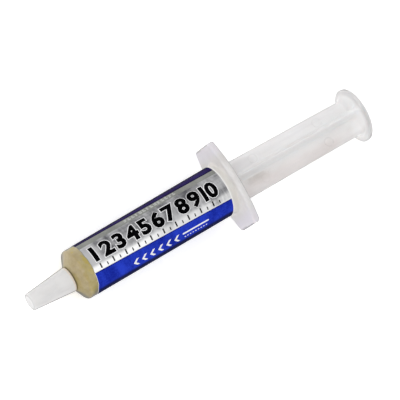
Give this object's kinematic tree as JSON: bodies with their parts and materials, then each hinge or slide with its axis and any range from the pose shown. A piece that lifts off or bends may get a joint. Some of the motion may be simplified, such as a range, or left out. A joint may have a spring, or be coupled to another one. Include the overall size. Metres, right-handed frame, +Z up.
{
  "type": "flux syringe",
  "caption": "Capped plastic dispensing syringe of solder flux paste, with a foil label, an oval finger flange and a sliding cross-ribbed plunger.",
  "frame": {"origin": "centre of the footprint on the surface the syringe lies on, at the bottom of its bounding box", "axes": "+X along the syringe from the tip towards the thumb disc (the barrel's axis rises 1.3 degrees towards +X as it rests), +Y along the finger flange's long axis, +Z up"},
  "size_m": [0.1364, 0.0312, 0.0217],
  "materials": {
    "natural_plastic": "translucent natural polypropylene, satin, slightly milky",
    "foil_film": "thin silver foil film printed with dark, grey and blue bands, glossy",
    "paste": "amber-khaki flux paste, waxy and translucent",
    "seal_rubber": "cream elastomer, matte",
    "rod_plastic": "translucent natural polypropylene, satin, faint lilac cast",
    "cap_plastic": "frosted white translucent plastic"
  },
  "bodies": {
    "barrel": {"barrel": "natural_plastic", "label": "foil_film", "flux_paste": "paste"},
    "piston": {"piston": "seal_rubber"},
    "plunger_rod": {"plunger_rod": "rod_plastic"},
    "tip_cap": {"tip_cap": "cap_plastic"}
  },
  "joints": [
    {"name": "plunger_slide", "type": "slide", "parent": "barrel", "child": "piston", "axis": [0.9997, 0, 0.0232], "range_m": [-0.0471, 0.006], "deforming": ["flux_paste"]},
    {"name": "rod_turn", "type": "hinge", "parent": "piston", "child": "plunger_rod", "pos_m": [0.003, 0, 0.01022], "axis": [0.9996, -0.0157, 0.0232], "continuous": true},
    {"name": "cap_pull", "type": "slide", "parent": "barrel", "child": "tip_cap", "axis": [-0.9997, 0, -0.0232], "range_m": [0, 0.025]}
  ]
}
